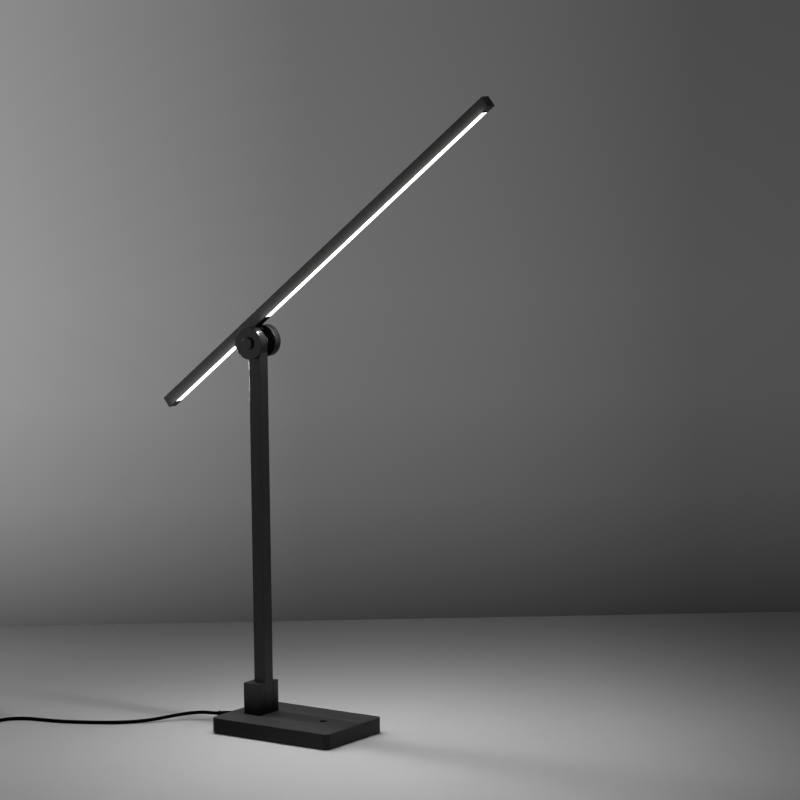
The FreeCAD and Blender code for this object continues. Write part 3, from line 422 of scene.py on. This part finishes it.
class Shader:
    """A material in the making: its nodes, its links and its Principled shader."""

    def __init__(self, name):
        self.material = bpy.data.materials.new(name)
        self.material.use_nodes = True
        self.nodes = self.material.node_tree.nodes
        self.links = self.material.node_tree.links
        self.surface = self.nodes["Principled BSDF"]
        self.output = self.nodes["Material Output"]

    def add(self, kind, **settings):
        node = self.nodes.new(kind)
        for key, value in settings.items():
            setattr(node, key, value)
        return node

    def link(self, source, target):
        self.links.new(source, target)

    def place(self, scale=(1, 1, 1), turn=0.0, shift=(0, 0, 0)):
        """Object coordinates, shifted, turned about Y and then scaled."""
        vector = self.add("ShaderNodeTexCoord").outputs["Object"]
        for setting, value in (("Location", shift), ("Rotation", (0, turn, 0)), ("Scale", scale)):
            mapping = self.add("ShaderNodeMapping")
            mapping.inputs[setting].default_value = value
            self.link(vector, mapping.inputs["Vector"])
            vector = mapping.outputs["Vector"]
        return vector

    def bar_place(self):
        """Places from the pivot, with X along the bar and Z square to it."""
        return self.place(turn=BAR_ANGLE, shift=tuple(-PIVOT))

    def turned_place(self, angle):
        """Object coordinates along axes that are turned about Z."""
        coordinates = self.add("ShaderNodeTexCoord").outputs["Object"]
        mapping = self.add("ShaderNodeMapping")
        mapping.inputs["Rotation"].default_value = (0, 0, -angle)
        self.link(coordinates, mapping.inputs["Vector"])
        return mapping.outputs["Vector"]

    def axes(self, vector):
        """The three parts of a vector, by the names of their axes."""
        node = self.add("ShaderNodeSeparateXYZ")
        self.link(vector, node.inputs["Vector"])
        return node.outputs

    def noise(self, vector, scale, detail=4.0, roughness=0.55):
        node = self.add("ShaderNodeTexNoise")
        node.inputs["Scale"].default_value = scale
        node.inputs["Detail"].default_value = detail
        node.inputs["Roughness"].default_value = roughness
        self.link(vector, node.inputs["Vector"])
        return node.outputs["Fac"]

    def drawn_lines(self, along, thin, long, turn=0.0):
        """Fine lines along one axis of the turned frame."""
        scale = [thin, thin, thin]
        scale[along] = long
        return self.noise(self.place(scale, turn), scale=1.0, detail=3.0)

    def ramp(self, factor, *stops):
        """Colours along a factor, each stop a position and a grey or a colour."""
        node = self.add("ShaderNodeValToRGB")
        elements = node.color_ramp.elements
        while len(elements) < len(stops):
            elements.new(0.5)
        for element, (position, colour) in zip(elements, stops):
            element.position = position
            element.color = (*shaded(colour, 1.0), 1.0)
        self.link(factor, node.inputs["Fac"])
        return node.outputs["Color"]

    def between(self, noise, low, high):
        """A grey or a colour that wanders between two others."""
        return self.ramp(noise, (NOISE_SPAN[0], low), (NOISE_SPAN[1], high))

    def varied(self, noise, colour, low=0.85, high=1.2):
        """A grey or a colour that wanders between two shares of its strength."""
        return self.between(noise, shaded(colour, low), shaded(colour, high))

    def remap(self, factor, low, high, from_low=NOISE_SPAN[0], from_high=NOISE_SPAN[1]):
        node = self.add("ShaderNodeMapRange")
        node.inputs["From Min"].default_value = from_low
        node.inputs["From Max"].default_value = from_high
        node.inputs["To Min"].default_value = low
        node.inputs["To Max"].default_value = high
        self.link(factor, node.inputs["Value"])
        return node.outputs["Result"]

    def calculate(self, operation, *values, clamp=False):
        """The result of a sum on sockets and plain numbers."""
        node = self.add("ShaderNodeMath", operation=operation, use_clamp=clamp)
        for value, target in zip(values, node.inputs):
            if isinstance(value, bpy.types.NodeSocket):
                self.link(value, target)
            else:
                target.default_value = value
        return node.outputs["Value"]

    def blend(self, factor, one, other):
        """One colour where the factor is zero, and the other where it is one."""
        node = self.add("ShaderNodeMix", data_type="RGBA")
        self.link(factor, node.inputs["Factor"])
        self.link(one, node.inputs["A"])
        self.link(other, node.inputs["B"])
        return node.outputs["Result"]

    def multiply(self, one, other):
        node = self.add("ShaderNodeMix", data_type="RGBA", blend_type="MULTIPLY")
        node.inputs["Factor"].default_value = 1.0
        self.link(one, node.inputs["A"])
        self.link(other, node.inputs["B"])
        return node.outputs["Result"]

    def bump(self, height, strength, distance):
        node = self.add("ShaderNodeBump")
        node.inputs["Strength"].default_value = strength
        node.inputs["Distance"].default_value = distance
        self.link(height, node.inputs["Height"])
        self.link(node.outputs["Normal"], self.surface.inputs["Normal"])

    def colour(self, socket):
        self.link(socket, self.surface.inputs["Base Color"])

    def rough(self, socket):
        self.link(socket, self.surface.inputs["Roughness"])

    def paint_shade(self, socket):
        """Paints shade by taking the gloss off by a share: the surface turns into a metal as black as this,
        which mirrors next to nothing.
        """
        self.link(socket, self.surface.inputs["Metallic"])

    def gloss(self, level):
        self.surface.inputs["Specular IOR Level"].default_value = level

    def glow(self, socket, strength):
        self.link(socket, self.surface.inputs["Emission Color"])
        self.surface.inputs["Emission Strength"].default_value = strength


def powder_coat(name, top_tone, side_tone_with_shade, rough, gloss):
    """Black coat over a brushed slab: a faint pebble, and soft streaking along the slab that is partly
    brushing and partly painted sheen. Its sides, and the button hole's wall, are a much deeper black than
    its top and smoother, partly a two-tone finish and partly painted shade, and painted shade darkens the
    sides to the left by taking their gloss away."""
    shader = Shader(name)
    place = shader.place()
    axes = shader.axes(place)
    slow = shader.noise(place, scale=26.0)
    streaks_and_sheen = shader.noise(shader.place((5.0, 75.0, 260.0)), scale=1.0, detail=5.0, roughness=0.7)
    pebble = shader.noise(place, scale=1500.0, detail=2.0)
    edge_foot = BASE_TOP - BASE_EDGE_RADIUS
    on_top = shader.remap(axes["Z"], 0.0, 1.0, edge_foot, edge_foot + BASE_EDGE_RADIUS / 2)
    # The sides and the button hole's wall are painted a much deeper black than the top: partly a two-tone
    # finish, partly painted shade.
    sides = shader.varied(slow, side_tone_with_shade)
    # The top's streaking is partly brushing and partly painted sheen.
    top = shader.varied(streaks_and_sheen, top_tone, 0.7, 1.35)
    shader.colour(shader.blend(on_top, sides, top))
    side_rough = shader.remap(streaks_and_sheen, *(level - SIDE_SMOOTHER for level in rough))
    shader.rough(shader.calculate("MULTIPLY_ADD", on_top, SIDE_SMOOTHER, side_rough))
    # Painted shade: the base's sides darken towards the left.
    painted_shade_to_left = shader.remap(axes["X"], BASE_SHADE_DEPTH, 0.0, *BASE_SHADE)
    shader.paint_shade(shader.calculate("SUBTRACT", painted_shade_to_left, on_top, clamp=True))
    shader.bump(pebble, strength=0.22, distance=0.0002)
    shader.gloss(gloss)
    return shader.material


def anodised_shader(name, tone, along, gloss, turn=0.0):
    """Black anodised metal with fine drawn lines along one axis of the turned frame."""
    shader = Shader(name)
    lines = shader.drawn_lines(along, thin=1400.0, long=9.0, turn=turn)
    slow = shader.noise(shader.place(), scale=31.0)
    shader.colour(shader.varied(slow, tone))
    shader.rough(shader.remap(lines, 0.36, 0.48))
    shader.bump(lines, strength=0.10, distance=0.00012)
    shader.gloss(gloss)
    return shader


def shaded_post(name, tone, gloss):
    """The anodised extrusion of post and socket, with painted shade at the socket's foot, where its gloss
    is taken away.
    """
    shader = anodised_shader(name, tone, AXIS_Z, gloss)
    height = shader.axes(shader.place())["Z"]
    # Painted shade: the socket darkens towards its foot.
    shader.paint_shade(shader.remap(height, SOCKET_SHADE_DEPTH, 0.0, *SOCKET_SHADE))
    return shader.material


def bar_with_painted_glow(name, tone, gloss):
    """The bar's anodised extrusion, with a faint painted glow on its flanks next to its lit strips."""
    shader = anodised_shader(name, tone, AXIS_X, gloss, BAR_ANGLE)
    axes = shader.axes(shader.bar_place())
    height = shader.remap(axes["Z"], 0.0, 1.0, BAR_ABOVE_PIVOT, BAR_ABOVE_PIVOT + BAR_SIZE)
    upward = shader.ramp(height, *((share, shaded(PAINTED_GLOW_TINT, level)) for share, level in PAINTED_GLOW_UPWARD))
    stops = []
    for start, end in sorted(STRIP_RUNS.values()):
        stops += [(start - PAINTED_GLOW_FADE, 0.0), (start, 1.0), (end, 1.0), (end + PAINTED_GLOW_FADE, 0.0)]
    first = stops[0][0]
    last = stops[-1][0]
    length = shader.remap(axes["X"], 0.0, 1.0, first, last)
    along = shader.ramp(length, *(((place - first) / (last - first), level) for place, level in stops))
    # Painted glow on the bar's flanks, next to the strips.
    shader.glow(shader.multiply(upward, along), PAINTED_GLOW_STRENGTH)
    return shader.material


def turned_black(name, tone, inner_shade_tone, gloss):
    """Black anodised discs with fine turning rings around the pivot. Their inner faces, in the gap between
    the discs, are painted a dead black as painted shade.
    """
    shader = Shader(name)
    place = shader.place(shift=tuple(-PIVOT))
    rings = shader.add("ShaderNodeTexWave", wave_type="RINGS", rings_direction="Y")
    rings.inputs["Scale"].default_value = 420.0
    rings.inputs["Distortion"].default_value = 1.2
    rings.inputs["Detail"].default_value = 2.0
    shader.link(place, rings.inputs["Vector"])
    slow = shader.noise(shader.place(), scale=60.0)
    # Painted shade: the discs' inner faces, in the gap between them, go a dead black.
    from_middle = shader.calculate("ABSOLUTE", shader.axes(place)["Y"])
    outside = shader.remap(from_middle, 0.0, 1.0, *DISC_INNER_EDGE)
    shader.paint_shade(shader.remap(outside, 1.0, 0.0, 0.0, 1.0))
    inner = shader.varied(slow, inner_shade_tone, 0.75, 1.25)
    shader.colour(shader.blend(outside, inner, shader.varied(slow, tone)))
    smooth_outside = shader.remap(outside, 0.9, 0.2, 0.0, 1.0)
    shader.rough(shader.calculate("MULTIPLY_ADD", rings.outputs["Fac"], 0.06, smooth_outside))
    shader.bump(rings.outputs["Fac"], strength=0.06, distance=0.0001)
    shader.gloss(gloss)
    return shader.material


def moulded(name, colour, rough, grain=2200.0, relief=0.18, gloss=0.3):
    """Moulded plastic or rubber with an eroded grain."""
    shader = Shader(name)
    place = shader.place()
    slow = shader.noise(place, scale=45.0)
    fine = shader.noise(place, scale=grain, detail=3.0)
    shader.colour(shader.varied(slow, colour, 0.85, 1.18))
    shader.rough(shader.remap(fine, *rough))
    shader.bump(fine, strength=relief, distance=0.0002)
    shader.gloss(gloss)
    return shader.material


def brushed(name, colour, rough, along=AXIS_X):
    """Bare metal with brushed lines."""
    shader = Shader(name)
    lines = shader.drawn_lines(along, thin=1800.0, long=25.0)
    shader.colour(shader.varied(lines, colour, 0.8, 1.15))
    shader.rough(shader.remap(lines, *rough))
    shader.bump(lines, strength=0.08, distance=0.0001)
    shader.surface.inputs["Metallic"].default_value = 1.0
    return shader.material


def circuit_board(name, mask, copper):
    """Solder mask over a grid of tracks."""
    shader = Shader(name)
    place = shader.place()
    tracks = shader.add("ShaderNodeTexBrick")
    tracks.inputs["Scale"].default_value = 150.0
    tracks.inputs["Mortar Size"].default_value = 0.03
    tracks.inputs["Color1"].default_value = (*mask, 1.0)
    tracks.inputs["Color2"].default_value = (*shaded(mask, 0.85), 1.0)
    tracks.inputs["Mortar"].default_value = (*copper, 1.0)
    shader.link(place, tracks.inputs["Vector"])
    shader.colour(tracks.outputs["Color"])
    shader.rough(shader.remap(shader.noise(place, scale=300.0), 0.3, 0.5))
    shader.bump(tracks.outputs["Fac"], strength=0.2, distance=0.0001)
    return shader.material


def led_board(name):
    """White board. The LEDs below it have a yellow phosphor."""
    shader = Shader(name)
    place = shader.place(shift=tuple(-PIVOT))
    height = shader.axes(shader.bar_place())["Z"]
    below = shader.remap(height, 1.0, 0.0, *LED_FACE)
    white = shader.between(shader.noise(place, scale=500.0), 0.72, 0.85)
    phosphor = shader.between(shader.noise(place, scale=900.0), (0.75, 0.6, 0.12), (0.9, 0.75, 0.2))
    shader.colour(shader.blend(below, white, phosphor))
    shader.rough(shader.remap(shader.noise(place, scale=800.0), 0.45, 0.6))
    return shader.material


def opal_light(name, strength):
    """The lit diffuser: opal plastic with a faint swell of light over each LED."""
    shader = Shader(name)
    place = shader.bar_place()
    phase = shader.calculate("MULTIPLY", shader.axes(place)["X"], 2 * math.pi / LED_PITCH)
    swell = shader.remap(shader.calculate("SINE", phase), 0.0, 1.0, -1.0, 1.0)
    shader.glow(shader.ramp(swell, (0.0, (0.93, 0.905, 0.87)), (1.0, (1.0, 0.985, 0.96))), strength)
    grain = shader.noise(place, scale=1200.0)
    shader.colour(shader.between(grain, (0.86, 0.85, 0.82), (0.92, 0.91, 0.88)))
    shader.rough(shader.remap(grain, 0.4, 0.55))
    return shader.material


def strap(name):
    """Woven hook-and-loop strap."""
    shader = Shader(name)
    place = shader.place()
    weave = shader.add("ShaderNodeTexChecker")
    weave.inputs["Scale"].default_value = 1800.0
    weave.inputs["Color1"].default_value = (0.022, 0.022, 0.023, 1.0)
    weave.inputs["Color2"].default_value = (0.038, 0.038, 0.040, 1.0)
    shader.link(place, weave.inputs["Vector"])
    shader.colour(weave.outputs["Color"])
    shader.rough(shader.remap(shader.noise(place, scale=700.0), 0.75, 0.9))
    shader.bump(weave.outputs["Fac"], strength=0.3, distance=0.0002)
    return shader.material


def make_materials():
    """Every material, by its slot in the record or by a name of its own."""
    hinge = anodised_shader("black_anodised_hinge", tone=0.004, along=AXIS_Y, gloss=0.06)
    return {
        "base_paint": powder_coat(
            "black_powder_coat", top_tone=0.030, side_tone_with_shade=0.0025, rough=(0.45, 0.6), gloss=0.27),
        "post_anodised": shaded_post("black_anodised_post", tone=0.005, gloss=0.5),
        # Painted light: the bar's tone is a lighter copy of the post's black anodising, standing in for the
        # strips' glow.
        "bar_anodised": bar_with_painted_glow("black_anodised_bar", tone=0.065, gloss=0.4),
        "hinge_black": hinge.material,
        "disc_anodised": turned_black("black_anodised_discs", tone=0.008, inner_shade_tone=0.002, gloss=0.45),
        "black_plastic": moulded("black_plastic", (0.013, 0.013, 0.0135), rough=(0.45, 0.6)),
        "button_black": moulded("black_button", (0.003, 0.003, 0.0031), rough=(0.6, 0.72), gloss=0.1),
        "cord_black": moulded(
            "cord_sheath", (0.002, 0.002, 0.0021), rough=(0.75, 0.88), grain=900.0, relief=0.1, gloss=0.02),
        "pad_rubber": moulded(
            "pad_rubber", (0.03, 0.03, 0.031), rough=(0.8, 0.92), grain=700.0, relief=0.5),
        "steel": brushed("brushed_steel", (0.55, 0.55, 0.56), rough=(0.28, 0.42)),
        "dark_steel": brushed("blackened_steel", (0.055, 0.055, 0.06), rough=(0.4, 0.52)),
        "brass_pins": brushed("nickel_pins", (0.72, 0.7, 0.66), rough=(0.16, 0.28), along=AXIS_Y),
        "board_green": circuit_board("green_board", mask=(0.02, 0.10, 0.05), copper=(0.10, 0.26, 0.12)),
        "led_board_white": led_board("white_led_board"),
        "opal": opal_light("lit_opal", strength=3.0),
        "lead_white": moulded(
            "white_lead", (0.7, 0.7, 0.69), rough=(0.45, 0.6), grain=1200.0, relief=0.1),
        "switch_grey": moulded("grey_switch", (0.10, 0.10, 0.105), rough=(0.5, 0.65)),
        "washer_nylon": moulded("black_nylon", (0.05, 0.05, 0.05), rough=(0.4, 0.55)),
        "strap": strap("woven_strap"),
    }


def dress_nodes(materials):
    """Gives every CAD node its material: by its own name where listed here, or else by its record slot."""
    own = {
        "base_shell": "base_paint",
        "post_tube": "post_anodised",
        "post_head": "hinge_black",
        "socket_block": "post_anodised",
        "bar_channel": "bar_anodised",
        "bar_bridge": "hinge_black",
        "neck": "hinge_black",
        "upper_end_cap": "bar_anodised",
        "lower_end_cap": "bar_anodised",
        "front_disc": "disc_anodised",
        "rear_disc": "disc_anodised",
        "front_cap": "disc_anodised",
        "rear_cap": "disc_anodised",
        "button": "button_black",
        "cord_tie": "strap",
    }
    slots = {part["node"]: part["material_slot"] for part in frame["record"]["subparts"]}
    for name, node in frame["nodes"].items():
        material = materials[own.get(name) or slots[name]]
        for material_slot in node.material_slots:
            material_slot.material = material


def floor_material():
    """A pale satin table top with painted shade: a little darker towards the wall and to the right."""
    shader = Shader("pale_floor")
    axes = shader.axes(shader.turned_place(WALL_ANGLE))
    # Painted shade: the floor darkens towards the wall and to the right.
    backward = shader.ramp(shader.remap(axes["Y"], 0.0, 1.0, *FLOOR_DEPTH), *FLOOR_BACKWARD)
    across = shader.ramp(shader.remap(axes["X"], 0.0, 1.0, *FLOOR_WIDTH), *FLOOR_ACROSS)
    mottle = shader.varied(shader.noise(shader.place(), scale=3.0), FLOOR_TONE, 0.97, 1.03)
    shader.colour(shader.multiply(mottle, shader.multiply(backward, across)))
    shader.surface.inputs["Roughness"].default_value = 0.6
    shader.gloss(0.2)
    return shader.material


def seen_directly(nodes, links):
    """One for rays that show the background itself: from the camera, off a gloss or through glass."""
    rays = nodes.new("ShaderNodeLightPath")
    seen = rays.outputs["Is Camera Ray"]
    for kind in ("Is Glossy Ray", "Is Transmission Ray"):
        either = nodes.new("ShaderNodeMath")
        either.operation = "MAXIMUM"
        links.new(seen, either.inputs[0])
        links.new(rays.outputs[kind], either.inputs[1])
        seen = either.outputs["Value"]
    return seen


def wall_material():
    """A grey backdrop with painted light and shade: lighter on the left and darker towards its foot. Its
    tone is the same whatever lights it, and its back is clear."""
    shader = Shader("grey_wall")
    axes = shader.axes(shader.place())
    # Painted light and shade: the backdrop is lighter on the left and darker towards its foot.
    across = shader.ramp(shader.remap(axes["X"], 0.0, 1.0, *WALL_SPAN), *WALL_ACROSS)
    upward = shader.ramp(shader.remap(axes["Z"], 0.0, 1.0, 0.0, WALL_FADE), *WALL_UPWARD)
    shown = shader.add("ShaderNodeEmission")
    shader.link(shader.multiply(across, upward), shown.inputs["Color"])
    shader.surface.inputs["Base Color"].default_value = (WALL_TONE, WALL_TONE, WALL_TONE, 1.0)
    shader.surface.inputs["Roughness"].default_value = 0.9
    either = shader.add("ShaderNodeMixShader")
    shader.link(seen_directly(shader.nodes, shader.links), either.inputs["Fac"])
    shader.link(shader.surface.outputs["BSDF"], either.inputs[1])
    shader.link(shown.outputs["Emission"], either.inputs[2])
    clear = shader.add("ShaderNodeBsdfTransparent")
    side = shader.add("ShaderNodeNewGeometry")
    whole = shader.add("ShaderNodeMixShader")
    shader.link(side.outputs["Backfacing"], whole.inputs["Fac"])
    shader.link(either.outputs["Shader"], whole.inputs[1])
    shader.link(clear.outputs["BSDF"], whole.inputs[2])
    shader.link(whole.outputs["Shader"], shader.output.inputs["Surface"])
    return shader.material


def make_stage():
    half = STAGE_SIZE / 2
    floor_corners = [(-half, -half, 0), (half, -half, 0), (half, half, 0), (-half, half, 0)]
    floor = add_mesh("floor", floor_corners, [(0, 1, 2, 3)], smooth=False)
    floor.data.materials.append(floor_material())
    wall_corners = [(-half, 0, 0), (half, 0, 0), (half, 0, WALL_HEIGHT), (-half, 0, WALL_HEIGHT)]
    wall = add_mesh("wall", wall_corners, [(0, 1, 2, 3)], smooth=False)
    wall.location = WALL_FOOT
    wall.rotation_euler = (0.0, 0.0, WALL_ANGLE)
    wall.data.materials.append(wall_material())


def soft_light(name, place, target, size, power, spread=180):
    """A round soft light that the camera doesn't see."""
    data = bpy.data.lights.new(name, "AREA")
    data.shape = "DISK"
    data.size = size
    data.energy = power
    data.spread = math.radians(spread)
    light = bpy.data.objects.new(name, data)
    light.location = place
    light.rotation_euler = (Vector(target) - Vector(place)).to_track_quat("-Z", "Y").to_euler()
    light.visible_camera = False
    bpy.context.scene.collection.objects.link(light)


def strip_light(name, start, end):
    """The light that a lit strip throws, from just under its diffuser. It moves with the bar."""
    along = Vector((math.cos(BAR_ANGLE), 0.0, math.sin(BAR_ANGLE)))
    up = Vector((-math.sin(BAR_ANGLE), 0.0, math.cos(BAR_ANGLE)))
    data = bpy.data.lights.new(name, "AREA")
    data.shape = "RECTANGLE"
    data.size = end - start
    data.size_y = STRIP_WIDTH
    data.energy = STRIP_POWER * (end - start)
    light = bpy.data.objects.new(name, data)
    place = PIVOT + along * (start + end) / 2 + up * (BAR_ABOVE_PIVOT - STRIP_LIGHT_GAP)
    light.matrix_world = placed_axes(place, along, up.cross(along), up)
    light.visible_camera = False
    bpy.context.scene.collection.objects.link(light)
    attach(light, "light_bar")


def make_lights():
    for name, settings in SOFT_LIGHTS.items():
        soft_light(name, **settings)
    for name, (start, end) in STRIP_RUNS.items():
        strip_light(name, start, end)


def make_world():
    """A dim grey room. Seen directly, past the edges of the floor, it is lighter."""
    world = bpy.data.worlds.new("studio")
    world.use_nodes = True
    nodes = world.node_tree.nodes
    links = world.node_tree.links
    dim = nodes["Background"]
    dim.inputs["Color"].default_value = (WORLD_TONE, WORLD_TONE, WORLD_TONE, 1.0)
    dim.inputs["Strength"].default_value = WORLD_STRENGTH
    seen = nodes.new("ShaderNodeBackground")
    seen.inputs["Color"].default_value = (1.0, 1.0, 1.0, 1.0)
    seen.inputs["Strength"].default_value = WORLD_SEEN
    either = nodes.new("ShaderNodeMixShader")
    links.new(seen_directly(nodes, links), either.inputs["Fac"])
    links.new(dim.outputs["Background"], either.inputs[1])
    links.new(seen.outputs["Background"], either.inputs[2])
    links.new(either.outputs["Shader"], nodes["World Output"].inputs["Surface"])
    bpy.context.scene.world = world


make_camera()
cord = make_cord()
boot = make_boot()
plug_boot = make_plug_boot()

materials = make_materials()
dress_nodes(materials)
for piece in (cord, boot, plug_boot):
    piece.data.materials.append(materials["cord_black"])

make_stage()
make_lights()
make_world()
bpy.context.scene.view_settings.view_transform = "Standard"
